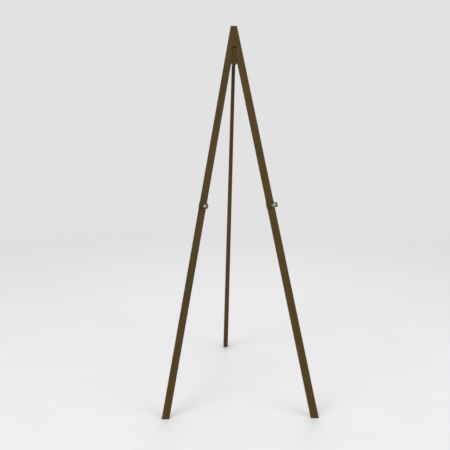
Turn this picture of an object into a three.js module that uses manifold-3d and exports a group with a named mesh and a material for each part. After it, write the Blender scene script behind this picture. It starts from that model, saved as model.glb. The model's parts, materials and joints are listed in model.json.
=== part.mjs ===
// A folding A-frame display easel of stained wood. Two splayed front legs are mitred together at the
// top, above a head block that is let into them. A rear leg hangs on a butt hinge behind the block,
// and a steel clip with a peg slides on each front leg to carry the picture.
//
// Millimetres, +Z up. The front faces -Y and +X is to the right as seen from the front. The origin is
// on the floor, in the middle of the easel's footprint.

import * as THREE from "three";
import { mergeVertices } from "three/addons/utils/BufferGeometryUtils.js";
import Module from "manifold-3d";

const wasm = await Module();
wasm.setup();

const degrees = THREE.MathUtils.degToRad;
const X = new THREE.Vector3(1, 0, 0);
const Y = new THREE.Vector3(0, 1, 0);
const Z = new THREE.Vector3(0, 0, 1);
const LEFT = -1;
const RIGHT = 1;

// ---------------------------------------------------------------- driving dimensions

const HEIGHT = 1600; // floor to the flat top of the apex
const FOOT_SPREAD = 595; // between the front legs' middle lines, at the floor
const SPLAY = degrees(10.45); // each front leg off upright, in the plane of the front frame
const FRONT_LEAN = degrees(9.65); // how far the front frame leans back
const OPEN_ANGLE = degrees(28); // between the front frame and the rear leg, on the hinge's stop
const LEG_WIDTH = 30; // all three legs are as wide, and the rear one stands on edge
const LEG_THICKNESS = 15; // of the front legs
const CLIP_LEVEL = 839; // floor to the middle of each sliding clip
const FIT_GAP = 0.3; // between pieces that are glued, pressed or screwed together

// The head block, measured along the front frame.
const BLOCK_BOTTOM = 1452;
const BLOCK_TOP = 1525;
const BLOCK_CHAMFER = 7.5; // height of the two sloping corners at its lower end
const BLOCK_NECK = 5; // half its width at the lower end
const BLOCK_TONGUE = 9; // half the width of its upper part, which is let into the legs
const BLOCK_RECESS = 3; // how far its face lies behind the legs' faces
const SLOT_WIDTH = 11; // of the opening left above it
const SLOT_HEIGHT = 5;

// The hinge.
const PIN_LEVEL = 1479; // height of the pin, measured along the front frame
const HINGE_WIDTH = 12;
const LEAF_LENGTH = 25;
const LEAF_THICKNESS = 1.2;
const KNUCKLE_RADIUS = 2.8;
const PIN_RADIUS = 1.4;

// The rear leg, which grows thicker towards the floor.
const REAR_LEG_HORN = 50; // how far it reaches above the pin
const REAR_LEG_TOP = 12.5; // its thickness at the upper end
const REAR_LEG_FOOT = 22; // its thickness at the floor

// The clips, in the frame of the leg that each slides on.
const CLIP_LENGTH = 24;
const CLIP_WALL = 1.2;
const CLIP_FRONT = 3.5; // the wall that carries the peg
const CLIP_BACK = 3; // the wall that the thumbscrew is threaded through
const PLATE_THICKNESS = 1.5;
const PEG_OFFSET = 8.5; // to the right of the leg's middle line, on both clips
const PEG_RISE = -4.5; // above the clip's middle
const PEG_REACH = 26; // clear length of the peg, which a canvas stands on

// ---------------------------------------------------------------- derived layout

const SLOPE = HEIGHT / Math.cos(FRONT_LEAN); // the front frame's length along its lean
const TAPER = Math.tan(SPLAY);
const HALF_LEG = LEG_WIDTH / 2 / Math.cos(SPLAY); // half a front leg, measured level
const BACK_FACE = LEG_THICKNESS / 2;
const REAR_TILT = OPEN_ANGLE - FRONT_LEAN; // the rear leg off upright
const PIN_BACK = BACK_FACE + FIT_GAP + KNUCKLE_RADIUS; // the pin, behind the frame's middle plane
const REAR_LEG_FACE = KNUCKLE_RADIUS + FIT_GAP; // the rear leg's front face, behind the pin

const PIN_HEIGHT = PIN_LEVEL * Math.cos(FRONT_LEAN) - PIN_BACK * Math.sin(FRONT_LEAN);
const PIN_SETBACK = PIN_LEVEL * Math.sin(FRONT_LEAN) + PIN_BACK * Math.cos(FRONT_LEAN);
const REAR_LEG_DROP = (PIN_HEIGHT + REAR_LEG_FACE * Math.sin(REAR_TILT)) / Math.cos(REAR_TILT);
const FRONTMOST = -LEG_THICKNESS / 2 / Math.cos(FRONT_LEAN);
const REARMOST =
  PIN_SETBACK +
  (REAR_LEG_FACE + LEG_WIDTH) * Math.cos(REAR_TILT) +
  REAR_LEG_DROP * Math.sin(REAR_TILT);

// The left leg's middle line at a height along the front frame; the right leg mirrors it.
const middleLine = (level) => -FOOT_SPREAD / 2 + level * TAPER;

// ---------------------------------------------------------------- materials

const finish = (color, roughness, metalness) =>
  new THREE.MeshStandardMaterial({ color, roughness, metalness });

const STAINED_WOOD = finish(0x54432a, 0.55, 0);
const HEAD_WOOD = finish(0x4b3a22, 0.6, 0);
const PALE_WOOD = finish(0xb08d5c, 0.7, 0);
const NICKEL = finish(0x9a938b, 0.3, 1);
const DARK_STEEL = finish(0x4e4a3e, 0.4, 0.8);
const BROWN_LACQUER = finish(0x4a3a24, 0.45, 0.2);
const BRASS = finish(0x9c7a3c, 0.35, 1);
const STEEL = finish(0x8a8680, 0.4, 1);

// ---------------------------------------------------------------- solids

function toSolid(geometry) {
  const bare = geometry.clone();
  bare.deleteAttribute("normal");
  bare.deleteAttribute("uv");
  const merged = mergeVertices(bare);
  return new wasm.Manifold(
    new wasm.Mesh({
      numProp: 3,
      vertProperties: merged.attributes.position.array,
      triVerts: new Uint32Array(merged.index.array),
    }),
  );
}

function toGeometry(solid) {
  const mesh = solid.getMesh();
  const geometry = new THREE.BufferGeometry();
  geometry.setAttribute("position", new THREE.BufferAttribute(mesh.vertProperties, 3));
  geometry.setIndex(new THREE.BufferAttribute(mesh.triVerts, 1));
  const faceted = geometry.toNonIndexed();
  faceted.computeVertexNormals();
  return faceted;
}

const cut = (base, ...tools) =>
  toGeometry(tools.reduce((left, tool) => left.subtract(toSolid(tool)), toSolid(base)));

const join = (...pieces) =>
  toGeometry(pieces.slice(1).reduce((sum, piece) => sum.add(toSolid(piece)), toSolid(pieces[0])));

const common = (a, b) => toGeometry(toSolid(a).intersect(toSolid(b)));

const box = (x0, x1, y0, y1, z0, z1) =>
  new THREE.BoxGeometry(x1 - x0, y1 - y0, z1 - z0).translate(
    (x0 + x1) / 2,
    (y0 + y1) / 2,
    (z0 + z1) / 2,
  );

// A round bar along X from one place to another.
const barAlongX = (radius, from, to, sides = 20) =>
  new THREE.CylinderGeometry(radius, radius, to - from, sides)
    .rotateZ(Math.PI / 2)
    .translate((from + to) / 2, 0, 0);

const polygon = (points) => new THREE.Shape(points.map(([x, y]) => new THREE.Vector2(x, y)));

// A profile of [radius, height] pairs turned round the Y axis.
const turned = (profile, sides = 24) =>
  new THREE.LatheGeometry(
    profile.map(([radius, height]) => new THREE.Vector2(radius, height)),
    sides,
  );

// An outline in the plane of two axes, given depth equally to both sides of that plane.
function prism(shape, depth, across, up) {
  const away = new THREE.Vector3().crossVectors(across, up);
  return new THREE.ExtrudeGeometry(shape, { depth, bevelEnabled: false, curveSegments: 5 })
    .translate(0, 0, -depth / 2)
    .applyMatrix4(new THREE.Matrix4().makeBasis(across, up, away));
}

// The same outline path serves a shape and a hole in one.
function roundedRectangle(path, x0, x1, y0, y1, radius) {
  const quarter = Math.PI / 2;
  path.moveTo(x0 + radius, y0);
  path.absarc(x1 - radius, y0 + radius, radius, -quarter, 0, false);
  path.absarc(x1 - radius, y1 - radius, radius, 0, quarter, false);
  path.absarc(x0 + radius, y1 - radius, radius, quarter, 2 * quarter, false);
  path.absarc(x0 + radius, y0 + radius, radius, 2 * quarter, 3 * quarter, false);
  return path;
}

function addPiece(parent, name, geometry, material) {
  const mesh = new THREE.Mesh(geometry, material.clone());
  mesh.name = name;
  parent.add(mesh);
  return mesh;
}

// ---------------------------------------------------------------- countersunk screws

// The head's face is at the origin and looks along +Y; the point is at -length.
function screwBlank({ length, shank, head }, gap = 0, lift = 0) {
  const point = 2 * shank;
  return turned(
    [
      [0, -length - gap],
      [shank + gap, point - length - gap],
      [shank + gap, shank - head - gap],
      [head + gap, 0],
      ...(lift > 0 ? [[head + gap, lift]] : []),
      [0, lift],
    ],
    16,
  );
}

// The screw itself, with a cross slot in its head.
function screw(size) {
  const slotWidth = size.head * 0.3;
  const slotReach = size.head * 0.6;
  const slotDepth = size.head * 0.35;
  const above = 1; // clear of the head's face
  return cut(
    screwBlank(size),
    box(-slotReach, slotReach, -slotDepth, above, -slotWidth / 2, slotWidth / 2),
    box(-slotWidth / 2, slotWidth / 2, -slotDepth, above, -slotReach, slotReach),
  );
}

// The room a screw takes up in the pieces that it holds, open for `lift` above its head.
const screwHole = (size, lift) => screwBlank(size, FIT_GAP, lift);

// ---------------------------------------------------------------- front frame

const frontFrame = new THREE.Group();
frontFrame.position.y = -(FRONTMOST + REARMOST) / 2;
frontFrame.rotation.x = -FRONT_LEAN;

// A group on a front leg's middle line, with its Z axis along the leg and X across it.
function legStation(side, level) {
  const station = new THREE.Group();
  station.position.set(-side * middleLine(level), 0, level);
  station.rotation.y = -side * SPLAY;
  station.updateMatrix();
  return station;
}

// Wood screws driven level with each leg's outer edge, through it and into the head block.
const LEG_SCREW = { length: 34, shank: 1.8, head: 3.6 };
const LEG_SCREW_SINK = 1.5; // the heads' faces, below the wood
const LEG_SCREW_LEVELS = { lower: 1463, upper: 1488 };

function legScrewPlace(side, level) {
  const place = new THREE.Group();
  place.position.x = side * (LEG_WIDTH / 2 - LEG_SCREW_SINK);
  place.rotation.z = (-side * Math.PI) / 2;
  place.updateMatrix();
  const station = legStation(side, level);
  station.add(place);
  return { station, place };
}

function legScrewHoles(side) {
  return Object.values(LEG_SCREW_LEVELS).map((level) => {
    const { station, place } = legScrewPlace(side, level);
    return screwHole(LEG_SCREW, 2 * LEG_SCREW_SINK)
      .applyMatrix4(place.matrix)
      .applyMatrix4(station.matrix);
  });
}

// Two dowels cross the mitre that joins the legs above the head block.
const DOWEL_RADIUS = 3;
const DOWEL_HALF_LENGTH = 11;
const DOWEL_LEVELS = { lower: SLOPE - 68, upper: SLOPE - 34 };

const dowelHoles = () =>
  Object.values(DOWEL_LEVELS).map((level) => {
    const reach = DOWEL_HALF_LENGTH + FIT_GAP;
    return barAlongX(DOWEL_RADIUS + FIT_GAP, -reach, reach, 16).translate(0, 0, level);
  });

// Everything between the floor and the level top of the apex, seen from the leaning frame.
const standingRoom = () =>
  box(-HEIGHT, HEIGHT, -HEIGHT, HEIGHT, 0, HEIGHT).rotateX(FRONT_LEAN);

// Where the room between the legs, less the glue lines, is as wide as the head block's tongue.
const TONGUE_START =
  (FOOT_SPREAD / 2 - HALF_LEG - FIT_GAP / Math.cos(SPLAY) - BLOCK_TONGUE) / TAPER;

// The housing for the head block's tongue, and the slot above it.
function housing() {
  const half = BLOCK_TONGUE + FIT_GAP;
  const top = BLOCK_TOP + FIT_GAP;
  return join(
    box(-half, half, -LEG_WIDTH, LEG_WIDTH, TONGUE_START, top),
    box(-SLOT_WIDTH / 2, SLOT_WIDTH / 2, -LEG_WIDTH, LEG_WIDTH, BLOCK_TOP, BLOCK_TOP + SLOT_HEIGHT),
  );
}

function frontLeg(side) {
  const spare = 20; // sawn off level at both ends
  const crotch = (FOOT_SPREAD / 2 - HALF_LEG - FIT_GAP / 2) / TAPER;
  const top = SLOPE + spare;
  const outline = [
    [middleLine(-spare) - HALF_LEG, -spare],
    [middleLine(-spare) + HALF_LEG, -spare],
    [-FIT_GAP / 2, crotch],
    [-FIT_GAP / 2, top],
    [middleLine(top) - HALF_LEG, top],
  ].map(([x, z]) => [-side * x, z]);
  const blank = prism(polygon(outline), LEG_THICKNESS, X, Z);
  const sawn = common(blank, standingRoom());
  return cut(sawn, housing(), ...dowelHoles(), ...legScrewHoles(side));
}

function headBlock() {
  // Half the room between the legs at a height, less the glue line.
  const halfWidth = (level) => -middleLine(level) - HALF_LEG - FIT_GAP / Math.cos(SPLAY);
  const shoulder = BLOCK_BOTTOM + BLOCK_CHAMFER;
  const rightHalf = [
    [BLOCK_NECK, BLOCK_BOTTOM],
    [halfWidth(shoulder), shoulder],
    [BLOCK_TONGUE, TONGUE_START],
    [BLOCK_TONGUE, BLOCK_TOP],
  ];
  const leftHalf = rightHalf.map(([x, z]) => [-x, z]).reverse();
  const depth = LEG_THICKNESS - BLOCK_RECESS;
  const blank = prism(polygon([...rightHalf, ...leftHalf]), depth, X, Z);
  return cut(
    blank.translate(0, BLOCK_RECESS / 2, 0),
    ...legScrewHoles(LEFT),
    ...legScrewHoles(RIGHT),
    ...fixedLeafScrewPlaces().map((place) => screwHole(HINGE_SCREW, 0).applyMatrix4(place)),
  );
}

// ---------------------------------------------------------------- hinge

const HINGE_SCREW = { length: 10, shank: 1.3, head: 2.5 };
const HINGE_SCREW_DROPS = { upper: 9, lower: 19 }; // below the pin
const PIN_ROOM = 0.2; // running clearance between the pin and its knuckles
const CENTRE_KNUCKLE = 2.2; // half the length of the middle knuckle

// The hinge and all that turns on it share a group at the pin, in the front frame.
const pinGroup = new THREE.Group();
pinGroup.position.set(0, PIN_BACK, PIN_LEVEL);
pinGroup.updateMatrix();

// The rear leg and its leaf turn about the pin; at zero they lie parallel to the front frame.
const rearGroup = new THREE.Group();
rearGroup.rotation.x = OPEN_ANGLE;

const fixedLeafScrews = () =>
  Object.values(HINGE_SCREW_DROPS).map((drop) =>
    new THREE.Matrix4().makeTranslation(0, LEAF_THICKNESS - KNUCKLE_RADIUS, -drop),
  );

const fixedLeafScrewPlaces = () =>
  fixedLeafScrews().map((place) => place.premultiply(pinGroup.matrix));

// The moving leaf's screws face the other way, into the rear leg.
const movingLeafScrews = () =>
  Object.values(HINGE_SCREW_DROPS).map((drop) =>
    new THREE.Matrix4()
      .makeRotationX(Math.PI)
      .setPosition(0, KNUCKLE_RADIUS - LEAF_THICKNESS, -drop),
  );

// A leaf is a plate with rolled knuckles on the pin. `facing` is -1 where the plate lies on the
// front frame and 1 where it lies on the rear leg; `rivals` are the other leaf's knuckle spans.
function hingeLeaf(facing, rivals, screwPlaces) {
  const outer = facing * KNUCKLE_RADIUS;
  const inner = facing * (KNUCKLE_RADIUS - LEAF_THICKNESS);
  const plate = box(
    -HINGE_WIDTH / 2,
    HINGE_WIDTH / 2,
    Math.min(outer, inner),
    Math.max(outer, inner),
    -LEAF_LENGTH,
    0,
  );
  const rolled = join(plate, barAlongX(KNUCKLE_RADIUS, -HINGE_WIDTH / 2, HINGE_WIDTH / 2));
  return cut(
    rolled,
    barAlongX(PIN_RADIUS + PIN_ROOM, -HINGE_WIDTH, HINGE_WIDTH),
    ...rivals.map(([from, to]) => barAlongX(KNUCKLE_RADIUS + FIT_GAP, from, to)),
    ...screwPlaces.map((place) => screwHole(HINGE_SCREW, LEAF_THICKNESS).applyMatrix4(place)),
  );
}

function hingePin() {
  const halfLength = HINGE_WIDTH / 2 + FIT_GAP;
  const headRadius = 2.1;
  const headLength = 1;
  const profile = [
    [0, -halfLength - headLength],
    [headRadius, -halfLength - headLength / 2],
    [headRadius, -halfLength],
    [PIN_RADIUS, -halfLength],
    [PIN_RADIUS, halfLength],
    [headRadius, halfLength],
    [headRadius, halfLength + headLength / 2],
    [0, halfLength + headLength],
  ];
  return turned(profile, 20).rotateZ(Math.PI / 2);
}

// The rear leg stands on its front lower edge, and its bevelled horn meets the back of the front
// frame when the hinge is open: that is the stop.
function rearLeg() {
  const face = REAR_LEG_FACE;
  const back = face + LEG_WIDTH;
  const round = 9;
  const bevel = (height) =>
    (height * Math.sin(OPEN_ANGLE) - KNUCKLE_RADIUS) / Math.cos(OPEN_ANGLE);
  const bevelStart =
    (face * Math.cos(OPEN_ANGLE) + KNUCKLE_RADIUS) / Math.sin(OPEN_ANGLE);
  const shape = new THREE.Shape();
  shape.moveTo(face, -REAR_LEG_DROP);
  shape.lineTo(back, -REAR_LEG_DROP);
  shape.absarc(back - round, REAR_LEG_HORN - round, round, 0, Math.PI / 2, false);
  shape.lineTo(bevel(REAR_LEG_HORN), REAR_LEG_HORN);
  shape.lineTo(face, bevelStart);
  const taper = polygon([
    [-REAR_LEG_FOOT / 2, -REAR_LEG_DROP],
    [REAR_LEG_FOOT / 2, -REAR_LEG_DROP],
    [REAR_LEG_TOP / 2, REAR_LEG_HORN],
    [-REAR_LEG_TOP / 2, REAR_LEG_HORN],
  ]);
  return cut(
    common(prism(shape, 2 * REAR_LEG_FOOT, Y, Z), prism(taper, 4 * LEG_WIDTH, X, Z)),
    ...movingLeafScrews().map((place) => screwHole(HINGE_SCREW, 0).applyMatrix4(place)),
  );
}

// ---------------------------------------------------------------- sliding clips

const CLIP_SIDE = LEG_WIDTH / 2 + FIT_GAP + CLIP_WALL; // outer face, left and right
const CLIP_FACE = -(LEG_THICKNESS / 2 + FIT_GAP + CLIP_FRONT); // outer face in front
const PLATE_FACE = LEG_THICKNESS / 2 + FIT_GAP; // the plate's face on the leg
const BACK_WALL = PLATE_FACE + PLATE_THICKNESS + FIT_GAP; // the back wall's inner face
const THREAD_RADIUS = 2.5;

// A lacquered steel sleeve round the leg, with room behind the leg for the pressure plate.
function clipSleeve() {
  const outerCorner = 2.4;
  const innerCorner = 0.25;
  const outer = roundedRectangle(
    new THREE.Shape(),
    -CLIP_SIDE,
    CLIP_SIDE,
    CLIP_FACE,
    BACK_WALL + CLIP_BACK,
    outerCorner,
  );
  outer.holes.push(
    roundedRectangle(
      new THREE.Path(),
      -CLIP_SIDE + CLIP_WALL,
      CLIP_SIDE - CLIP_WALL,
      CLIP_FACE + CLIP_FRONT,
      BACK_WALL,
      innerCorner,
    ),
  );
  const hole = new THREE.CylinderGeometry(
    THREAD_RADIUS + FIT_GAP,
    THREAD_RADIUS + FIT_GAP,
    4 * CLIP_FRONT,
    16,
  );
  return cut(
    prism(outer, CLIP_LENGTH, X, Y),
    hole.clone().translate(PEG_OFFSET, CLIP_FACE, PEG_RISE),
    hole.clone().translate(0, BACK_WALL + CLIP_BACK, 0),
  );
}

// A brass plate that spreads the thumbscrew's push over the back of the leg.
function pressurePlate() {
  const half = 9;
  const corner = 2;
  const shape = roundedRectangle(new THREE.Shape(), -half, half, -half, half, corner);
  return prism(shape, PLATE_THICKNESS, X, Z).translate(0, PLATE_FACE + PLATE_THICKNESS / 2, 0);
}

// The peg's threaded root sits in the clip's front wall, and a bolt holds the plate on its end.
// Heights are along the peg, from the clip's face outwards.
const PEG_RADIUS = 4.5;
const PEG_COLLAR = 2.2;
const PEG_END = FIT_GAP + PEG_COLLAR + PEG_REACH;
const PEG_PLATE_THICKNESS = 3.2;
const BOLT_RADIUS = 2;
const BOLT_LENGTH = 12; // below its head
const BOLT_SEAT = PEG_END + FIT_GAP + PEG_PLATE_THICKNESS + FIT_GAP;

function pegShaft() {
  const root = FIT_GAP - CLIP_FRONT;
  const seat = FIT_GAP;
  const collarEnd = seat + PEG_COLLAR;
  const collarRadius = 6.5;
  const collarEdge = 0.6;
  const bore = BOLT_RADIUS + FIT_GAP;
  const boreEnd = BOLT_SEAT - BOLT_LENGTH - FIT_GAP;
  return turned([
    [0, root],
    [THREAD_RADIUS, root],
    [THREAD_RADIUS, seat],
    [collarRadius, seat],
    [collarRadius, collarEnd - collarEdge],
    [collarRadius - collarEdge, collarEnd],
    [PEG_RADIUS, collarEnd],
    [PEG_RADIUS, PEG_END],
    [bore, PEG_END],
    [bore, boreEnd],
    [0, boreEnd],
  ]);
}

// A square plate, in line with the leg, that keeps the canvas from sliding off the peg.
function pegPlate() {
  const half = 9.5;
  const shift = 3.5; // the peg stands left of the plate's middle
  const corner = 1.6;
  const shape = roundedRectangle(
    new THREE.Shape(),
    shift - half,
    shift + half,
    -half,
    half,
    corner,
  );
  const bore = new THREE.Path();
  bore.absarc(0, 0, BOLT_RADIUS + FIT_GAP, 0, 2 * Math.PI, true);
  shape.holes.push(bore);
  const middle = PEG_END + FIT_GAP + PEG_PLATE_THICKNESS / 2;
  return prism(shape, PEG_PLATE_THICKNESS, X, Z).translate(0, middle, 0);
}

// A flat-headed bolt with a hexagon socket.
function pegBolt() {
  const headRadius = 6;
  const headHeight = 2.2;
  const headEdge = 0.7;
  const socketRadius = 2.4;
  const socketDepth = 1.6;
  const top = BOLT_SEAT + headHeight;
  const bolt = turned([
    [0, BOLT_SEAT - BOLT_LENGTH],
    [BOLT_RADIUS, BOLT_SEAT - BOLT_LENGTH],
    [BOLT_RADIUS, BOLT_SEAT],
    [headRadius, BOLT_SEAT],
    [headRadius, top - headEdge],
    [headRadius - headEdge, top],
    [0, top],
  ]);
  const socket = new THREE.CylinderGeometry(socketRadius, socketRadius, 2 * socketDepth, 6);
  return cut(bolt, socket.translate(0, top, 0));
}

// A knurled thumbscrew through the clip's back wall. Heights are along the screw, from the
// pressure plate outwards.
function thumbscrew() {
  const exposedThread = 1.2;
  const shankEnd = FIT_GAP + CLIP_BACK + exposedThread;
  const headLength = 7;
  const headRadius = 8;
  const crownRadius = 5;
  const crownEdge = 0.8;
  const tipEdge = 0.5;
  const teeth = 24;
  const toothDepth = 0.5;
  const knurl = Array.from({ length: 2 * teeth }, (_, i) => {
    const radius = i % 2 ? headRadius : headRadius - toothDepth;
    const angle = (i * Math.PI) / teeth;
    return [radius * Math.cos(angle), radius * Math.sin(angle)];
  });
  const head = prism(polygon(knurl), headLength, Z, X).translate(0, shankEnd + headLength / 2, 0);
  const crown = turned([
    [0, shankEnd],
    [crownRadius, shankEnd],
    [crownRadius, shankEnd + headLength],
    [crownRadius - crownEdge, shankEnd + headLength + crownEdge],
    [0, shankEnd + headLength + crownEdge],
  ]);
  const shank = turned([
    [0, 0],
    [THREAD_RADIUS - tipEdge, 0],
    [THREAD_RADIUS, tipEdge],
    [THREAD_RADIUS, shankEnd + headLength / 2],
    [0, shankEnd + headLength / 2],
  ]);
  return join(head, crown, shank);
}

function addClip(side, name) {
  const clip = legStation(side, CLIP_LEVEL / Math.cos(FRONT_LEAN));
  addPiece(clip, `${name}_clip_sleeve`, clipSleeve(), BROWN_LACQUER);
  addPiece(clip, `${name}_pressure_plate`, pressurePlate(), BRASS);

  const peg = new THREE.Group();
  peg.position.set(PEG_OFFSET, CLIP_FACE, PEG_RISE);
  peg.rotation.x = Math.PI;
  addPiece(peg, `${name}_peg_shaft`, pegShaft(), NICKEL);
  addPiece(peg, `${name}_peg_plate`, pegPlate(), DARK_STEEL);
  addPiece(peg, `${name}_peg_bolt`, pegBolt(), NICKEL);
  clip.add(peg);

  const turnedScrew = addPiece(clip, `${name}_thumbscrew`, thumbscrew(), NICKEL);
  turnedScrew.position.y = BACK_WALL;
  frontFrame.add(clip);
}

// ---------------------------------------------------------------- assembly

function addFrontFrame() {
  addPiece(frontFrame, "left_front_leg", frontLeg(LEFT), STAINED_WOOD);
  addPiece(frontFrame, "right_front_leg", frontLeg(RIGHT), STAINED_WOOD);
  addPiece(frontFrame, "head_block", headBlock(), HEAD_WOOD);
  for (const [height, level] of Object.entries(DOWEL_LEVELS)) {
    const dowel = barAlongX(DOWEL_RADIUS, -DOWEL_HALF_LENGTH, DOWEL_HALF_LENGTH, 16);
    addPiece(frontFrame, `${height}_apex_dowel`, dowel, PALE_WOOD).position.z = level;
  }
}

function addLegScrews(side, name) {
  for (const [height, level] of Object.entries(LEG_SCREW_LEVELS)) {
    const { station, place } = legScrewPlace(side, level);
    addPiece(place, `${name}_leg_screw_${height}`, screw(LEG_SCREW), STEEL);
    frontFrame.add(station);
  }
}

function addHinge() {
  const span = HINGE_WIDTH / 2 + 1;
  const sideGap = CENTRE_KNUCKLE + FIT_GAP;
  const centre = [[-sideGap, sideGap]];
  const ends = [
    [-span, -CENTRE_KNUCKLE],
    [CENTRE_KNUCKLE, span],
  ];
  addPiece(pinGroup, "hinge_fixed_leaf", hingeLeaf(-1, centre, fixedLeafScrews()), NICKEL);
  addPiece(pinGroup, "hinge_pin", hingePin(), STEEL);
  addPiece(rearGroup, "hinge_moving_leaf", hingeLeaf(1, ends, movingLeafScrews()), NICKEL);
  addPiece(rearGroup, "rear_leg", rearLeg(), STAINED_WOOD);

  const names = Object.keys(HINGE_SCREW_DROPS);
  fixedLeafScrews().forEach((place, i) => {
    addPiece(pinGroup, `fixed_leaf_screw_${names[i]}`, screw(HINGE_SCREW), STEEL).applyMatrix4(place);
  });
  movingLeafScrews().forEach((place, i) => {
    addPiece(rearGroup, `moving_leaf_screw_${names[i]}`, screw(HINGE_SCREW), STEEL).applyMatrix4(place);
  });
  pinGroup.add(rearGroup);
  frontFrame.add(pinGroup);
}

addFrontFrame();
addHinge();
for (const [side, name] of [[LEFT, "left"], [RIGHT, "right"]]) {
  addLegScrews(side, name);
  addClip(side, name);
}

const easel = new THREE.Group();
easel.add(frontFrame);

export default easel;
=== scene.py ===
"""The looks of a folding wooden display easel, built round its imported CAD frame.

Metres, +Z up, and the front faces -Y. Each detailed piece takes the place of one CAD node and rides on
that node's body. Small sizes are written as multiples of MM.
"""

import json
import math

import bmesh
import bpy
from mathutils import Matrix, Vector


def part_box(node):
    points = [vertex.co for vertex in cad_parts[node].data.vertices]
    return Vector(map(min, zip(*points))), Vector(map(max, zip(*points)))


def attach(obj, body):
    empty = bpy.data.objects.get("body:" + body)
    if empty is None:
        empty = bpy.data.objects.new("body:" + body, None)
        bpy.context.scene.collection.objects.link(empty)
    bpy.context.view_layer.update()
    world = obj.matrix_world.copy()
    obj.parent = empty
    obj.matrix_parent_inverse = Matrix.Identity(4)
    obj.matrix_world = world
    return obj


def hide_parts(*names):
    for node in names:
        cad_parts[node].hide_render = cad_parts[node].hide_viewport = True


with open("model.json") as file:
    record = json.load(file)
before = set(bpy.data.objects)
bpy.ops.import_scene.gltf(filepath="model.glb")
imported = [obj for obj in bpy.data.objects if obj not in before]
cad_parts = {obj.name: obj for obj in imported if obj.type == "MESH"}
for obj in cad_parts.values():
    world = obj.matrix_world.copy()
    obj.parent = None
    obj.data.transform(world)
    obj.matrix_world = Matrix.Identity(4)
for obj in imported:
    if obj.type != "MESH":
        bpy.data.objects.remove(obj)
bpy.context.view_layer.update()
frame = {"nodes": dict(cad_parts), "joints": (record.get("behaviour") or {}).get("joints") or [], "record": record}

MM = 0.001
RIGHT = Vector((1, 0, 0))
BACK = Vector((0, 1, 0))
UP = Vector((0, 0, 1))
SIDES = {"left": -1, "right": 1}  # which way each lies along X

joints = {joint["name"]: joint for joint in frame["joints"]}
slot_of_node = {part["node"]: part["material_slot"] for part in frame["record"]["subparts"]}
body_of_node = {
    node: body
    for body, nodes in frame["record"]["behaviour"]["bodies"].items()
    for node in nodes
}

# ---------------------------------------------------------------- sizes shared with the CAD model

LEG_WIDTH = 30 * MM
LEG_THICKNESS = 15 * MM
FIT_GAP = 0.3 * MM

CLIP_LENGTH = 24 * MM
CLIP_WALL = 1.2 * MM
CLIP_FRONT = 3.5 * MM
CLIP_BACK = 3 * MM
PRESSURE_PLATE_THICKNESS = 1.5 * MM
THREAD_RADIUS = 2.5 * MM
EXPOSED_THREAD = 1.2 * MM
THUMB_LENGTH = 7 * MM
THUMB_RADIUS = 8 * MM

PEG_OFFSET = 8.5 * MM
PEG_RISE = -4.5 * MM
PEG_REACH = 26 * MM
PEG_RADIUS = 4.5 * MM
PEG_COLLAR = 2.2 * MM
PEG_COLLAR_RADIUS = 6.5 * MM
PEG_PLATE_HALF = 9.5 * MM
PEG_PLATE_SHIFT = 3.5 * MM
PEG_PLATE_THICKNESS = 3.2 * MM
BOLT_RADIUS = 2 * MM
BOLT_LENGTH = 12 * MM
BOLT_HEAD_RADIUS = 6 * MM
BOLT_HEAD_HEIGHT = 2.2 * MM

# along a clip's own Y, from the leg's middle
CLIP_FACE = -(LEG_THICKNESS / 2 + FIT_GAP + CLIP_FRONT)
BACK_WALL = LEG_THICKNESS / 2 + FIT_GAP + PRESSURE_PLATE_THICKNESS + FIT_GAP

# outward along a peg, from the clip's face
PEG_END = FIT_GAP + PEG_COLLAR + PEG_REACH
BOLT_SEAT = PEG_END + FIT_GAP + PEG_PLATE_THICKNESS + FIT_GAP

KNUCKLE_RADIUS = 2.8 * MM
LEAF_THICKNESS = 1.2 * MM
LEAF_LENGTH = 25 * MM
LEAF_TOP = -(KNUCKLE_RADIUS + 2 * FIT_GAP)
HINGE_WIDTH = 12 * MM
CENTRE_KNUCKLE = 2.2 * MM  # half the middle knuckle's length
PIN_RADIUS = 1.4 * MM
PIN_HEAD_RADIUS = 2.1 * MM
PIN_HEAD_LENGTH = 1 * MM
HINGE_SCREW = {"length": 10 * MM, "shank": 1.3 * MM, "head": 2.5 * MM}
HINGE_SCREW_DROPS = {"upper": 9 * MM, "lower": 19 * MM}
LEG_SCREW = {"length": 34 * MM, "shank": 1.8 * MM, "head": 3.6 * MM}

# ---------------------------------------------------------------- sizes that only the looks use

SAME_POINT = 0.001 * MM  # points closer than this are one point
CORNER_SHARE = 0.45  # the most of a side that a rounded corner takes
SMOOTH_ANGLE = math.radians(32)  # edges that turn more than this are shaded sharp

LEG_EDGE = 0.9 * MM  # how far an edge of a leg is eased
STEEL_EDGE = 0.45 * MM
LONG_EDGE = 9 * MM  # a leg's shorter edges stay sharp
MITRE_REACH = 10 * MM  # edges this near the middle belong to the mitre or the housing

THREAD_PITCH = 0.8 * MM
THREAD_DEPTH = 0.25 * MM
KNURL_DEPTH = 0.32 * MM
KNURL_TEETH = 36
KNURL_ROWS = 18

# where in its log each wooden piece is cut, so that the legs and the block differ in grain
LOG_PLACES = {
    "left_front_leg": (0.031, 0.022, 0.4),
    "right_front_leg": (-0.044, 0.027, 2.9),
    "rear_leg": (0.026, -0.035, 5.3),
    "head_block": (0.018, 0.041, 7.7),
    "lower_apex_dowel": (0.011, 0.009, 9.1),
    "upper_apex_dowel": (0.011, 0.009, 9.1),
}


# ---------------------------------------------------------------- places, from the frame's joints


def placement(across, back, along, origin):
    """A matrix that puts a piece's X, Y and Z axes along three directions at a point."""
    turn = Matrix((across, back, along)).transposed().to_4x4()
    return Matrix.Translation(origin) @ turn


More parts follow.
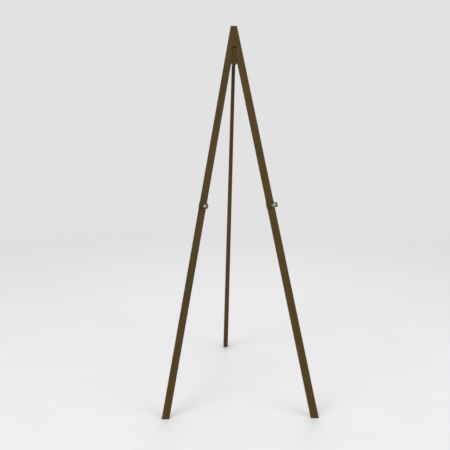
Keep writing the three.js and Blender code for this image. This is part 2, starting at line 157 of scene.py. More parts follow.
def clip_place(side):
    """The middle of a clip: X across its leg, Y towards the back, Z up along the leg."""
    along = Vector(joints[f"{side}_clip_slide"]["axis"]).normalized()
    turning = joints[f"{side}_thumbscrew_turn"]
    back = Vector(turning["axis"]).normalized()
    across = back.cross(along)
    return placement(across, back, along, Vector(turning["pos_m"]) - back * BACK_WALL)


def pin_place():
    """The hinge pin's middle, with Z up along the leaning front frame."""
    back = Vector(joints["left_thumbscrew_turn"]["axis"]).normalized()
    up = RIGHT.cross(back)
    return placement(RIGHT, back, up, Vector(joints["rear_leg_fold"]["pos_m"]))


def rear_place():
    """The hinge pin's middle, with Z up along the opened rear leg."""
    open_angle = math.radians(joints["rear_leg_fold"]["range_deg"][1])
    return pin_place() @ Matrix.Rotation(open_angle, 4, "X")


def centre_of(node):
    low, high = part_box(node)
    return (low + high) / 2


def outer_face(node, outward):
    """The middle of a solid's outermost face: the mean of its points that lie furthest outward."""
    points = [Vector(vert.co) for vert in frame["nodes"][node].data.vertices]
    furthest = max(point.dot(outward) for point in points)
    outermost = [point for point in points if point.dot(outward) > furthest - 0.01 * MM]
    return sum(outermost, Vector()) / len(outermost)


# ---------------------------------------------------------------- material building


class Surface:
    """A node material: one Principled surface, and short calls for the nodes that feed it."""

    # a Mix node's colour sockets go by number, because all its kinds of socket share their names
    MIX_FIRST, MIX_SECOND, MIX_RESULT = 6, 7, 2

    def __init__(self, name):
        self.material = bpy.data.materials.new(name)
        self.material.use_nodes = True
        self.tree = self.material.node_tree
        self.shader = self.tree.nodes["Principled BSDF"]

    def feed(self, socket, value):
        if isinstance(value, bpy.types.NodeSocket):
            self.tree.links.new(value, socket)
        else:
            socket.default_value = value

    def node(self, kind, inputs, **settings):
        made = self.tree.nodes.new(kind)
        for name, value in settings.items():
            setattr(made, name, value)
        for name, value in inputs.items():
            self.feed(made.inputs[name], value)
        return made

    def set(self, **inputs):
        """Sets the shader's sockets; their words are joined by underscores."""
        for name, value in inputs.items():
            self.feed(self.shader.inputs[name.replace("_", " ")], value)

    def attribute(self, name, output="Vector"):
        return self.node("ShaderNodeAttribute", {}, attribute_name=name).outputs[output]

    def stretched(self, vector, scale):
        inputs = {0: vector, 1: scale}
        return self.node("ShaderNodeVectorMath", inputs, operation="MULTIPLY").outputs[0]

    def noise(self, vector, scale, detail, roughness=0.5, distortion=0.0):
        inputs = {"Vector": vector, "Scale": scale, "Detail": detail}
        inputs.update({"Roughness": roughness, "Distortion": distortion})
        return self.node("ShaderNodeTexNoise", inputs).outputs["Fac"]

    def maths(self, operation, first, second):
        return self.node("ShaderNodeMath", {0: first, 1: second}, operation=operation).outputs[0]

    def spread(self, value, low, high, new_low=0.0, new_high=1.0):
        """The value's low to high mapped to new_low to new_high, and held there beyond."""
        inputs = {"Value": value, "From Min": low, "From Max": high}
        inputs.update({"To Min": new_low, "To Max": new_high})
        return self.node("ShaderNodeMapRange", inputs).outputs["Result"]

    def mix(self, share, first, second):
        made = self.node("ShaderNodeMix", {}, data_type="RGBA")
        self.feed(made.inputs["Factor"], share)
        self.feed(made.inputs[self.MIX_FIRST], first)
        self.feed(made.inputs[self.MIX_SECOND], second)
        return made.outputs[self.MIX_RESULT]

    def bump(self, height, strength, distance, below=None):
        inputs = {"Height": height, "Strength": strength, "Distance": distance}
        if below is not None:
            inputs["Normal"] = below
        return self.node("ShaderNodeBump", inputs).outputs["Normal"]


def colour(red, green, blue):
    """A display colour of 0 to 255 as the linear colour that shaders take."""
    return (*((((level / 255) + 0.055) / 1.055) ** 2.4 for level in (red, green, blue)), 1.0)


def growth_rings(surface, board):
    """Saw-toothed rings round the log's middle, drawn out along it."""
    inputs = {
        "Vector": surface.stretched(board, (1, 1, 0.035)),
        "Scale": 78.0,
        "Distortion": 5.5,
        "Detail": 3.0,
        "Detail Scale": 0.55,
        "Detail Roughness": 0.6,
    }
    settings = {"wave_type": "RINGS", "rings_direction": "Z", "wave_profile": "SAW"}
    return surface.node("ShaderNodeTexWave", inputs, **settings).outputs["Fac"]


def wood(name, deep, middle, warm, pale, roughness):
    """Straight-grained wood. "local" holds the place in the log, with Z along the fibres."""
    surface = Surface(name)
    board = surface.attribute("local")
    wear = surface.attribute("wear", "Fac")

    def grain(across, along, *texture):
        """Noise drawn out along the fibres; `texture` is its detail, roughness and distortion."""
        return surface.noise(surface.stretched(board, (across, across, along)), 1.0, *texture)

    rings = growth_rings(surface, board)
    streaks = grain(620, 7, 5.0, 0.62, 0.4)
    fibres = grain(2600, 45, 3.0, 0.7)
    pores = surface.spread(grain(1900, 60, 2.0), 0.6, 0.68)
    patches = grain(110, 12, 4.0, 0.6, 0.6)
    clouds = grain(18, 5, 2.0)

    bands = surface.maths("MULTIPLY", rings, 0.36)
    figure = surface.maths("ADD", bands, surface.maths("MULTIPLY", streaks, 0.6))
    figure = surface.maths("ADD", figure, surface.maths("MULTIPLY", fibres, 0.3))
    base = surface.mix(surface.spread(figure, 0.4, 0.86), deep, middle)
    base = surface.mix(surface.spread(patches, 0.44, 0.68, 0.0, 0.75), base, warm)
    base = surface.mix(surface.spread(clouds, 0.35, 0.7, 0.0, 0.35), base, middle)
    base = surface.mix(surface.spread(fibres, 0.48, 0.68, 0.0, 0.45), base, deep)
    base = surface.mix(surface.maths("MULTIPLY", pores, 0.6), base, deep)
    rubbed = surface.maths("MULTIPLY", wear, surface.spread(streaks, 0.3, 0.62, 0.05, 0.5))
    surface.set(Base_Color=surface.mix(rubbed, base, pale))

    dull = surface.spread(fibres, 0.3, 0.7, roughness, roughness + 0.16)
    surface.set(Roughness=surface.maths("ADD", dull, surface.maths("MULTIPLY", pores, 0.15)))
    surface.set(Coat_Weight=0.03, Coat_Roughness=0.3, Specular_IOR_Level=0.2)
    ridges = surface.bump(surface.maths("SUBTRACT", fibres, pores), 0.3, 0.12 * MM)
    surface.set(Normal=surface.bump(figure, 0.12, 0.25 * MM, ridges))
    return surface.material


def metal(name, tint, tarnish, polished, roughness, turning):
    """Machined metal. "turn" holds radius, height and side on the piece; tool marks follow it."""
    surface = Surface(name)
    place = surface.attribute("turn")
    wear = surface.attribute("wear", "Fac")
    marks = surface.noise(surface.stretched(place, (turning, turning, 90)), 1.0, 2.0, 0.6)
    blooms = surface.noise(place, 260.0, 4.0, 0.6, 0.5)
    specks = surface.spread(surface.noise(place, 2400.0, 3.0, 0.6), 0.64, 0.74)
    aged = surface.mix(surface.spread(blooms, 0.42, 0.72, 0.0, 0.7), tint, tarnish)
    aged = surface.mix(surface.maths("MULTIPLY", specks, 0.35), aged, tarnish)
    surface.set(Base_Color=surface.mix(surface.maths("MULTIPLY", wear, 0.5), aged, polished), Metallic=1.0)
    smudged = surface.spread(blooms, 0.35, 0.75, roughness, roughness + 0.16)
    brushed = surface.spread(marks, 0.3, 0.7, -0.04, 0.06)
    surface.set(Roughness=surface.maths("ADD", smudged, brushed))
    surface.set(Normal=surface.bump(marks, 0.18, 0.02 * MM))
    return surface.material


def brown_lacquer():
    """Semi-gloss paint on steel, thin and scuffed along the edges."""
    surface = Surface("brown_lacquer")
    place = surface.attribute("local")
    wear = surface.attribute("wear", "Fac")
    peel = surface.noise(place, 1500.0, 2.0, 0.4)
    dust = surface.noise(place, 420.0, 5.0, 0.62)
    chips = surface.noise(place, 1250.0, 4.0, 0.7, 0.3)
    worn = surface.spread(surface.maths("MULTIPLY", wear, chips), 0.47, 0.56, 0.0, 0.85)
    paint = surface.mix(surface.spread(dust, 0.35, 0.68), colour(56, 42, 12), colour(72, 56, 20))
    surface.set(Base_Color=surface.mix(worn, paint, colour(150, 140, 126)), Metallic=worn)
    surface.set(Roughness=surface.spread(dust, 0.3, 0.7, 0.36, 0.52))
    surface.set(Coat_Weight=0.04, Coat_Roughness=0.22, Specular_IOR_Level=0.22)
    surface.set(Normal=surface.bump(surface.maths("SUBTRACT", peel, worn), 0.12, 0.08 * MM))
    return surface.material


def studio_floor():
    """A plain pale floor that thins out to the same pale studio far from the easel."""
    surface = Surface("studio_floor")
    place = surface.node("ShaderNodeNewGeometry", {}).outputs["Position"]
    mottle = surface.noise(place, 3.0, 3.0)
    surface.set(Base_Color=surface.mix(mottle, colour(224, 224, 225), colour(230, 230, 230)))
    surface.set(Roughness=0.75)
    distance = surface.node("ShaderNodeVectorMath", {0: place}, operation="LENGTH").outputs["Value"]
    surface.set(Alpha=surface.spread(distance, 1.6, 5.5, 1.0, 0.0))
    return surface.material


WOODS = {
    "stained_wood": {
        "deep": colour(50, 37, 8),
        "middle": colour(81, 63, 18),
        "warm": colour(90, 62, 18),
        "pale": colour(108, 86, 42),
        "roughness": 0.5,
    },
    # the same stain as stained_wood made darker: painted shade for the head block, which sits recessed between the
    # legs
    "head_wood": {
        "deep": colour(46, 34, 6),
        "middle": colour(74, 58, 12),
        "warm": colour(80, 55, 12),
        "pale": colour(96, 76, 34),
        "roughness": 0.52,
    },
    "dowel_wood": {
        "deep": colour(168, 132, 86),
        "middle": colour(196, 160, 112),
        "warm": colour(204, 158, 106),
        "pale": colour(214, 182, 138),
        "roughness": 0.6,
    },
}
METALS = {
    "nickel": {
        "tint": colour(196, 188, 180),
        "tarnish": colour(150, 138, 124),
        "polished": colour(216, 210, 204),
        "roughness": 0.16,
        "turning": 9000.0,
    },
    "dark_steel": {
        "tint": colour(88, 84, 70),
        "tarnish": colour(70, 62, 48),
        "polished": colour(120, 114, 100),
        "roughness": 0.34,
        "turning": 3000.0,
    },
    "brass": {
        "tint": colour(205, 168, 96),
        "tarnish": colour(142, 108, 56),
        "polished": colour(224, 192, 128),
        "roughness": 0.26,
        "turning": 5000.0,
    },
    "screw_steel": {
        "tint": colour(176, 172, 164),
        "tarnish": colour(126, 120, 106),
        "polished": colour(198, 196, 190),
        "roughness": 0.3,
        "turning": 7000.0,
    },
}
MATERIALS = {
    **{name: wood(name, **settings) for name, settings in WOODS.items()},
    **{name: metal(name, **settings) for name, settings in METALS.items()},
    "brown_lacquer": brown_lacquer(),
}


# ---------------------------------------------------------------- mesh building


def solid_copy(node):
    """A CAD node's solid as an editable mesh, with shared corners and whole flat faces."""
    mesh = bmesh.new()
    mesh.from_mesh(frame["nodes"][node].data)
    bmesh.ops.remove_doubles(mesh, verts=mesh.verts, dist=SAME_POINT)
    bmesh.ops.dissolve_limit(mesh, angle_limit=math.radians(1), verts=mesh.verts, edges=mesh.edges)
    return mesh


def wear_layer(mesh):
    """How worn each point is, from 0 to 1, for the materials to rub pale or bare."""
    return mesh.verts.layers.float.get("wear") or mesh.verts.layers.float.new("wear")


def longer_than(length):
    """A test for the edges that are longer than a length."""
    return lambda edge: edge.calc_length() > length


def ease(mesh, width, wanted=lambda edge: True, segments=3, sharp=30):
    """Rounds the wanted edges that turn more than `sharp` degrees, and marks their crests as worn."""
    worn = wear_layer(mesh)
    edges = [
        edge
        for edge in mesh.edges
        if edge.is_manifold and edge.calc_face_angle() > math.radians(sharp) and wanted(edge)
    ]
    made = bmesh.ops.bevel(
        mesh, geom=edges, offset=width, segments=segments, profile=0.5, affect="EDGES", clamp_overlap=True
    )
    rounded = set(made["faces"])
    for vert in made["verts"]:
        if vert.is_valid and all(face in rounded for face in vert.link_faces):
            vert[worn] = 1.0


def corner_curve(before, corner, after, radius, steps):
    """The points of a curve that replaces a corner, from radius before it to radius after it."""
    corner = Vector(corner)
    to_before = Vector(before) - corner
    to_after = Vector(after) - corner
    reach = min(radius, to_before.length * CORNER_SHARE, to_after.length * CORNER_SHARE)
    start = corner + to_before.normalized() * reach
    end = corner + to_after.normalized() * reach
    shares = [step / steps for step in range(steps + 1)]
    return [start * (1 - t) ** 2 + corner * 2 * t * (1 - t) + end * t**2 for t in shares]


def rounded_corners(outline, radius, steps=4):
    """A closed outline with every corner rounded."""
    smooth = []
    for i, corner in enumerate(outline):
        following = outline[(i + 1) % len(outline)]
        smooth += corner_curve(outline[i - 1], corner, following, radius, steps)
    return smooth


def rounded_profile(profile, radius, steps=3):
    """An open profile of (radius, height) points with every corner but its ends rounded."""
    smooth = [Vector(profile[0])]
    for before, corner, after in zip(profile, profile[1:], profile[2:]):
        smooth += corner_curve(before, corner, after, radius, steps)
    return [*smooth, Vector(profile[-1])]


def turned(profile, sides=72, knurl=None):
    """A profile of (radius, height) points, from axis to axis, turned round the Y axis."""
    mesh = bmesh.new()
    rows = []
    for radius, height in profile:
        if radius < SAME_POINT:
            rows.append([mesh.verts.new((0, height, 0))])
            continue
        row = []
        for i in range(sides):
            angle = 2 * math.pi * i / sides
            reach = radius if knurl is None else knurl(radius, height, angle)
            row.append(mesh.verts.new((reach * math.cos(angle), height, reach * math.sin(angle))))
        rows.append(row)
    for low, high in zip(rows, rows[1:]):
        for i in range(sides):
            j = (i + 1) % sides
            corners = [low[i % len(low)], low[j % len(low)], high[j % len(high)], high[i % len(high)]]
            mesh.faces.new(list(dict.fromkeys(corners)))
    bmesh.ops.recalc_face_normals(mesh, faces=mesh.faces)
    return mesh


def drill(radius, low, high, sides=40):
    """A round cutter along the Y axis, from low to high."""
    return turned([(0, low), (radius, low), (radius, high), (0, high)], sides)


def extruded(outline, low, high, holes=()):
    """An outline of (x, y) points carried from Z low to high, with holes that go right through."""
    mesh = bmesh.new()
    rings = []
    for loop in (outline, *holes):
        bottom = [mesh.verts.new((x, y, low)) for x, y in loop]
        top = [mesh.verts.new((x, y, high)) for x, y in loop]
        rings.append((bottom, top))
        for i, vert in enumerate(bottom):
            j = (i + 1) % len(bottom)
            mesh.faces.new((vert, bottom[j], top[j], top[i]))
    for ends in zip(*rings):
        edges = [mesh.edges.get((ring[i - 1], ring[i])) for ring in ends for i in range(len(ring))]
        bmesh.ops.triangle_fill(mesh, edges=edges, use_beauty=True)
    bmesh.ops.dissolve_limit(mesh, angle_limit=math.radians(0.5), verts=mesh.verts, edges=mesh.edges)
    bmesh.ops.recalc_face_normals(mesh, faces=mesh.faces)
    return mesh


def box_mesh(low, high):
    corners = [(low[0], low[1]), (high[0], low[1]), (high[0], high[1]), (low[0], high[1])]
    return extruded(corners, low[2], high[2])


def moved(mesh, matrix):
    bmesh.ops.transform(mesh, matrix=matrix, verts=mesh.verts)
    return mesh


def temporary_object(mesh):
    data = bpy.data.meshes.new("temporary")
    mesh.to_mesh(data)
    mesh.free()
    made = bpy.data.objects.new("temporary", data)
    bpy.context.scene.collection.objects.link(made)
    return made


def carved(mesh, tools, operation="DIFFERENCE"):
    """The mesh with each tool cut out of it, or joined to it."""
    base = temporary_object(mesh)
    for tool in tools:
        boolean = base.modifiers.new("boolean", "BOOLEAN")
        boolean.operation = operation
        boolean.solver = "EXACT"
        boolean.object = temporary_object(tool)
    evaluated = base.evaluated_get(bpy.context.evaluated_depsgraph_get())
    result = bmesh.new()
    result.from_mesh(evaluated.data)
    for modifier in base.modifiers:
        bpy.data.objects.remove(modifier.object)
    bpy.data.objects.remove(base)
    bmesh.ops.remove_doubles(result, verts=result.verts, dist=SAME_POINT)
    bmesh.ops.dissolve_limit(result, angle_limit=math.radians(0.2), verts=result.verts, edges=result.edges)
    return result


def store_places(data, node, place):
    """Stores where each point is on its own piece, for the piece's material to follow."""
    machined = slot_of_node[node] in METALS
    log_place = Vector(LOG_PLACES.get(node, (0, 0, 0)))
    to_piece = place.inverted()
    layer = data.attributes.new("turn" if machined else "local", "FLOAT_VECTOR", "POINT")
    for vert, value in zip(data.vertices, layer.data):
        local = to_piece @ vert.co
        if machined:
            value.vector = (math.hypot(local.x, local.z), local.y, local.x + local.z)
        else:
            value.vector = local + log_place


def finish_piece(node, mesh, place):
    """Turns a mesh in the shared frame into the piece that stands for a CAD node.

    `place` holds the piece's own axes, which its material follows.
    """
    wear_layer(mesh)
    data = bpy.data.meshes.new(f"{node}_detail")
    mesh.to_mesh(data)
    mesh.free()
    store_places(data, node, place)
    data.shade_smooth()
    data.set_sharp_from_angle(angle=SMOOTH_ANGLE)
    data.materials.append(MATERIALS[slot_of_node[node]])
    piece = bpy.data.objects.new(f"{node}_detail", data)
    bpy.context.scene.collection.objects.link(piece)
    weighted = piece.modifiers.new("even_shading", "WEIGHTED_NORMAL")
    weighted.keep_sharp = True
    weighted.weight = 90
    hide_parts(node)
    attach(piece, body_of_node[node])


# ---------------------------------------------------------------- wooden pieces


def add_front_leg(side):
    """A slat with eased edges; only the mitre and the head block's housing stay sharp."""
    node = f"{side}_front_leg"
    mesh = solid_copy(node)

    def outside(edge):
        in_the_middle = all(abs(vert.co.x) < MITRE_REACH for vert in edge.verts)
        return edge.calc_length() > LONG_EDGE and not in_the_middle

    ease(mesh, LEG_EDGE, outside)
    finish_piece(node, mesh, clip_place(side))


def add_rear_leg():
    mesh = solid_copy("rear_leg")
    ease(mesh, LEG_EDGE, longer_than(LONG_EDGE), sharp=22)
    finish_piece("rear_leg", mesh, rear_place())


def add_head_block():
    mesh = solid_copy("head_block")
    ease(mesh, 0.5 * MM, longer_than(7 * MM))
    finish_piece("head_block", mesh, pin_place())


def add_dowels():
    for height in ("lower", "upper"):
        node = f"{height}_apex_dowel"
        mesh = solid_copy(node)
        ease(mesh, 0.4 * MM, sharp=60)
        finish_piece(node, mesh, placement(BACK, UP, RIGHT, centre_of(node)))


# ---------------------------------------------------------------- screws


def wedge(bottom, top):
    """A wedge along Y between two rectangles, each given as its height, half length and half width."""
    mesh = bmesh.new()
    ends = []
    for height, length, width in (bottom, top):
        corners = [(-length, -width), (length, -width), (length, width), (-length, width)]
        ends.append([mesh.verts.new((x, height, z)) for x, z in corners])
    for end in ends:
        mesh.faces.new(end)
    low, high = ends
    for i in range(4):
        mesh.faces.new((low[i - 1], low[i], high[i], high[i - 1]))
    bmesh.ops.recalc_face_normals(mesh, faces=mesh.faces)
    return mesh


def cross_recess(head):
    """Two crossed wedges, wider at the top, to cut into a screw head of radius `head`."""
    bottom = (-0.5 * head, 0.217 * head, 0.091 * head)
    top = (0.2 * head, 0.651 * head, 0.1274 * head)
    return [moved(wedge(bottom, top), Matrix.Rotation(turn, 4, "Y")) for turn in (0, math.pi / 2)]


def screw_mesh(length, shank, head):
    """A countersunk wood screw. Its head's face looks along +Y and its point is at -length."""
    profile = [(0, -length), (shank, 2 * shank - length), (shank, shank - head), (head, 0), (0, 0)]
    return carved(turned(rounded_profile(profile, 0.25 * MM), sides=48), cross_recess(head))


def add_leg_screws():
    """Two screws sunk in each leg's outer edge, into the head block."""
    for side, sign in SIDES.items():
        turn = clip_place(side).to_3x3()
        outward, along = turn @ (RIGHT * sign), turn @ UP
        for height in ("lower", "upper"):
            node = f"{side}_leg_screw_{height}"
            place = placement(outward.cross(along), outward, along, outer_face(node, outward))
            finish_piece(node, moved(screw_mesh(**LEG_SCREW), place), place)


def add_hinge_screws():
    face = KNUCKLE_RADIUS - LEAF_THICKNESS
    flipped = Matrix.Rotation(math.pi, 4, "X")
    for height, drop in HINGE_SCREW_DROPS.items():
        fixed = pin_place() @ Matrix.Translation((0, -face, -drop))
        moving = rear_place() @ Matrix.Translation((0, face, -drop)) @ flipped
        for leaf, place in (("fixed", fixed), ("moving", moving)):
            node = f"{leaf}_leaf_screw_{height}"
            finish_piece(node, moved(screw_mesh(**HINGE_SCREW), place), place)


# ---------------------------------------------------------------- hinge

# these lay an extruded outline's thickness across the hinge, or from front to back
THICKNESS_ACROSS = Matrix(((0, 0, 1, 0), (1, 0, 0, 0), (0, 1, 0, 0), (0, 0, 0, 1)))
THICKNESS_BACK = Matrix(((1, 0, 0, 0), (0, 0, 1, 0), (0, 1, 0, 0), (0, 0, 0, 1)))


def rolled_outline(facing):
    """A leaf's edge: a flat plate whose upper end is rolled round the pin."""
    outer, inner = KNUCKLE_RADIUS, KNUCKLE_RADIUS - LEAF_THICKNESS
    end, steps = math.radians(282), 26
    around = [end * i / steps for i in range(steps + 1)]
    outward = [(outer * math.cos(angle), outer * math.sin(angle)) for angle in around]
    back = [(inner * math.cos(angle), inner * math.sin(angle)) for angle in reversed(around)]
    plate = [(inner, -LEAF_LENGTH), (outer, -LEAF_LENGTH)]
    return [(facing * y, z) for y, z in outward + back + plate]


def leaf_rolls(facing, knuckles):
    """A leaf's rolls, each cut off a little below the top of the plate that it joins."""
    wide, cut = HINGE_WIDTH, LEAF_TOP - 2 * MM
    rolls = []
    for start, end in knuckles:
        roll = moved(extruded(rolled_outline(facing), start, end), THICKNESS_ACROSS)
        spare = box_mesh((-wide, -wide, -2 * LEAF_LENGTH), (wide, wide, cut))
        rolls.append(carved(roll, [spare]))
    return rolls


def leaf_plate(facing):
    """The flat part of a leaf, with rounded corners."""
    half = HINGE_WIDTH / 2
    corners = [(-half, LEAF_TOP), (-half, -LEAF_LENGTH), (half, -LEAF_LENGTH), (half, LEAF_TOP)]
    faces = sorted((facing * KNUCKLE_RADIUS, facing * (KNUCKLE_RADIUS - LEAF_THICKNESS)))
    return moved(extruded(rounded_corners(corners, 1.6 * MM), *faces), THICKNESS_BACK)


def leaf_holes(facing):
    """Cutters for a leaf's countersunk screw holes."""
    shank, head = HINGE_SCREW["shank"] + FIT_GAP, HINGE_SCREW["head"] + FIT_GAP
    below, above = -3 * MM, 1 * MM
    sink = [(0, below), (shank, below), (shank, shank - head), (head, 0), (head, above), (0, above)]
    turn = Matrix.Rotation(0 if facing < 0 else math.pi, 4, "X")
    face = facing * (KNUCKLE_RADIUS - LEAF_THICKNESS)
    return [
        moved(moved(turned(sink, sides=40), turn), Matrix.Translation((0, face, -drop)))
        for drop in HINGE_SCREW_DROPS.values()
    ]


def leaf_mesh(facing, knuckles):
    """A hinge leaf. `knuckles` are the spans of its rolls along the pin."""
    leaf = carved(leaf_plate(facing), leaf_rolls(facing, knuckles), "UNION")
    leaf = carved(leaf, leaf_holes(facing))
    ease(leaf, 0.12 * MM, longer_than(0.9 * MM), segments=2, sharp=50)
    return leaf


def pin_mesh():
    """The hinge pin along the Y axis, with a rounded head at each end."""
    half = HINGE_WIDTH / 2 + FIT_GAP
    end = half + PIN_HEAD_LENGTH
    profile = [(0, -end), (PIN_HEAD_RADIUS, -end), (PIN_HEAD_RADIUS, -half), (PIN_RADIUS, -half)]
    profile += [(PIN_RADIUS, half), (PIN_HEAD_RADIUS, half), (PIN_HEAD_RADIUS, end), (0, end)]
    return turned(rounded_profile(profile, 0.6 * MM, 5), sides=48)


def add_hinge():
    end, gap = HINGE_WIDTH / 2, CENTRE_KNUCKLE + FIT_GAP
    fixed = leaf_mesh(-1, [(-end, -gap), (gap, end)])
    finish_piece("hinge_fixed_leaf", moved(fixed, pin_place()), pin_place())
    moving = leaf_mesh(1, [(-CENTRE_KNUCKLE, CENTRE_KNUCKLE)])
    finish_piece("hinge_moving_leaf", moved(moving, rear_place()), rear_place())
    across = pin_place() @ Matrix.Rotation(-math.pi / 2, 4, "Z")
    finish_piece("hinge_pin", moved(pin_mesh(), across), across)


# ---------------------------------------------------------------- sliding clips


def sleeve_mesh():
    """A steel sleeve round the leg, with holes in its thicker front wall and its back wall."""
    side, back = LEG_WIDTH / 2 + FIT_GAP + CLIP_WALL, BACK_WALL + CLIP_BACK
    room, front = side - CLIP_WALL, CLIP_FACE + CLIP_FRONT
    outer = [(-side, CLIP_FACE), (side, CLIP_FACE), (side, back), (-side, back)]
    inner = [(-room, front), (room, front), (room, BACK_WALL), (-room, BACK_WALL)]
    outline = rounded_corners(outer, 3.4 * MM, 8)
    hollow = rounded_corners(inner, 0.35 * MM, 2)
    sleeve = extruded(outline, -CLIP_LENGTH / 2, CLIP_LENGTH / 2, [hollow])
    ease(sleeve, STEEL_EDGE, sharp=60)

    peg_hole = (PEG_OFFSET, CLIP_FACE + CLIP_FRONT / 2, PEG_RISE)
    thumbscrew_hole = (0, BACK_WALL + CLIP_BACK / 2, 0)
    radius, reach = THREAD_RADIUS + FIT_GAP, 4 * MM
    holes = [
        moved(drill(radius, -reach, reach), Matrix.Translation(middle))
        for middle in (peg_hole, thumbscrew_hole)
    ]
    return carved(sleeve, holes)


def pressure_plate_mesh(side):
    mesh = solid_copy(f"{side}_pressure_plate")
    ease(mesh, 0.25 * MM, segments=2, sharp=60)
    return mesh


def peg_shaft_mesh():
    """A collared peg with a groove at each end, bored for the bolt that holds its plate."""
    root = FIT_GAP - CLIP_FRONT
    collar_end = FIT_GAP + PEG_COLLAR
    neck = PEG_RADIUS - 0.35 * MM
    neck_length, shoulder = 1.2 * MM, 1.6 * MM
    bore = BOLT_RADIUS + FIT_GAP
    bore_end = BOLT_SEAT - BOLT_LENGTH - FIT_GAP
    profile = [
        (0, root),
        (THREAD_RADIUS, root),
        (THREAD_RADIUS, FIT_GAP),
        (PEG_COLLAR_RADIUS, FIT_GAP),
        (PEG_COLLAR_RADIUS, collar_end),
        (neck, collar_end),
        (neck, collar_end + neck_length),
        (PEG_RADIUS, collar_end + shoulder),
        (PEG_RADIUS, PEG_END - shoulder),
        (neck, PEG_END - neck_length),
        (neck, PEG_END),
        (bore, PEG_END),
        (bore, bore_end),
        (0, bore_end),
    ]
    return turned(rounded_profile(profile, 0.5 * MM, 4))


def peg_plate_mesh():
    """A square plate with eased edges on the peg's end, bored off its middle for the bolt."""
    left, right = PEG_PLATE_SHIFT - PEG_PLATE_HALF, PEG_PLATE_SHIFT + PEG_PLATE_HALF
    low, high = -PEG_PLATE_HALF, PEG_PLATE_HALF
    outline = rounded_corners([(left, low), (right, low), (right, high), (left, high)], 2.2 * MM, 8)
    start = PEG_END + FIT_GAP
    plate = extruded(outline, start, start + PEG_PLATE_THICKNESS)
    ease(plate, STEEL_EDGE, sharp=60)
    plate = moved(plate, Matrix.Rotation(-math.pi / 2, 4, "X"))
    bore = BOLT_RADIUS + FIT_GAP
    return carved(plate, [drill(bore, PEG_END, BOLT_SEAT + bore)])


def peg_bolt_mesh():
    """A flat-headed bolt with a rounded rim and a hexagon socket."""
    tip, top = BOLT_SEAT - BOLT_LENGTH, BOLT_SEAT + BOLT_HEAD_HEIGHT
    bevel, bevel_drop = 0.9 * MM, 0.5 * MM
    profile = [(0, tip), (BOLT_RADIUS, tip), (BOLT_RADIUS, BOLT_SEAT), (BOLT_HEAD_RADIUS, BOLT_SEAT)]
    profile += [(BOLT_HEAD_RADIUS, top - bevel_drop), (BOLT_HEAD_RADIUS - bevel, top), (0, top)]
    bolt = turned(rounded_profile(profile, 0.4 * MM, 4), sides=96)

    radius, depth = 2.4 * MM, 1.6 * MM
    socket = drill(radius, top - depth, top + depth, sides=6)
    lip, flare = 0.35 * MM, 0.7 * MM
    rim = [(0, top - lip), (radius, top - lip), (radius + flare, top + lip), (0, top + lip)]
    return carved(bolt, [socket, turned(rim, sides=48)])


def thread_profile(length):
    """A thread's (radius, height) points, from its blunt end at 0 to length."""
    root = THREAD_RADIUS - THREAD_DEPTH
    points = [(0, 0), (root, 0)]
    for i in range(int(length / THREAD_PITCH)):
        points += [(THREAD_RADIUS, (i + 0.5) * THREAD_PITCH), (root, (i + 1) * THREAD_PITCH)]
    return [*points, (root, length)]


def thumb_head_profile(start, end):
    """The head's points: a rim with rows to knurl, then a grooved face with a low dome."""
    bevel = THUMB_RADIUS - 1 * MM
    low, high = start + 0.9 * MM, end - 0.9 * MM
    rim = [(THUMB_RADIUS, low + (high - low) * i / KNURL_ROWS) for i in range(KNURL_ROWS + 1)]
    face = [(5.4 * MM, end), (4.9 * MM, end - 0.5 * MM), (4.3 * MM, end - 0.4 * MM)]
    dome = [(3.6 * MM, end + 0.6 * MM), (0, end + 0.8 * MM)]
    return [(bevel, start), *rim, (bevel, end), *face, *dome]


def thumbscrew_mesh():
    """A diamond-knurled head on a threaded shank. Heights run from the pressure plate outward."""
    head_start = FIT_GAP + CLIP_BACK + EXPOSED_THREAD
    head_end = head_start + THUMB_LENGTH

    def knurl(radius, height, angle):
        if radius < THUMB_RADIUS - 0.01 * MM:
            return radius
        twist = (height - head_start) / THUMB_LENGTH * 3 * math.pi / 2
        teeth = KNURL_TEETH / 2 * angle
        ridges = abs(math.cos(teeth + twist)) * abs(math.cos(teeth - twist))
        return radius - KNURL_DEPTH * (1 - ridges)

    profile = thread_profile(head_start) + thumb_head_profile(head_start, head_end)
    return turned(profile, KNURL_TEETH * 6, knurl)


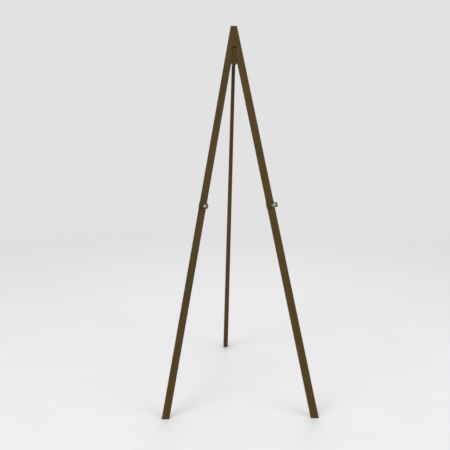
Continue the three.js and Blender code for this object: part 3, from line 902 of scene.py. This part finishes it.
def add_clip(side):
    place = clip_place(side)
    outward = Matrix.Rotation(math.pi, 4, "X")
    peg = place @ Matrix.Translation((PEG_OFFSET, CLIP_FACE, PEG_RISE)) @ outward
    screw = place @ Matrix.Translation((0, BACK_WALL, 0))
    finish_piece(f"{side}_clip_sleeve", moved(sleeve_mesh(), place), place)
    finish_piece(f"{side}_pressure_plate", pressure_plate_mesh(side), place)
    finish_piece(f"{side}_peg_shaft", moved(peg_shaft_mesh(), peg), peg)
    finish_piece(f"{side}_peg_plate", moved(peg_plate_mesh(), peg), peg)
    finish_piece(f"{side}_peg_bolt", moved(peg_bolt_mesh(), peg), peg)
    finish_piece(f"{side}_thumbscrew", moved(thumbscrew_mesh(), screw), screw)


# ---------------------------------------------------------------- studio


def add_camera():
    """A view from a little left of the easel and above its middle, looking slightly down."""
    look_down, roll, turn = 3.95, 0.37, -0.16  # degrees
    camera = bpy.data.objects.new("camera", bpy.data.cameras.new("camera"))
    camera.location = (-0.207, -2.351, 1.055)
    camera.rotation_euler = [math.radians(angle) for angle in (90 - look_down, roll, turn)]
    camera.data.lens = 40.8
    camera.data.shift_x = 0.0824
    camera.data.shift_y = -0.081
    bpy.context.scene.collection.objects.link(camera)
    bpy.context.scene.camera = camera


def add_floor():
    mesh = bmesh.new()
    bmesh.ops.create_circle(mesh, cap_ends=True, segments=96, radius=6)
    data = bpy.data.meshes.new("floor")
    mesh.to_mesh(data)
    mesh.free()
    data.materials.append(studio_floor())
    floor = bpy.data.objects.new("floor", data)
    bpy.context.scene.collection.objects.link(floor)


def add_softbox(name, place, size, power):
    """A round lamp that looks at the easel's middle."""
    light = bpy.data.objects.new(name, bpy.data.lights.new(name, "AREA"))
    light.data.shape = "DISK"
    light.data.size = size
    light.data.energy = power
    light.location = place
    aim = Vector((0, 0, 0.8)) - Vector(place)
    light.rotation_euler = aim.to_track_quat("-Z", "Y").to_euler()
    bpy.context.scene.collection.objects.link(light)


def add_studio():
    add_floor()
    world = bpy.data.worlds.new("studio")
    world.use_nodes = True
    world.node_tree.nodes["Background"].inputs["Color"].default_value = colour(226, 226, 227)
    bpy.context.scene.world = world
    bpy.context.scene.view_settings.view_transform = "Standard"
    add_softbox("key_light", (-2.8, -3.2, 4.2), 3.0, 90)
    add_softbox("fill_light", (3.0, -2.8, 3.2), 3.0, 45)
    add_softbox("rim_light", (0.6, 3.2, 3.8), 2.4, 30)


add_camera()
add_studio()
for leg_side in SIDES:
    add_front_leg(leg_side)
    add_clip(leg_side)
add_rear_leg()
add_head_block()
add_dowels()
add_leg_screws()
add_hinge()
add_hinge_screws()
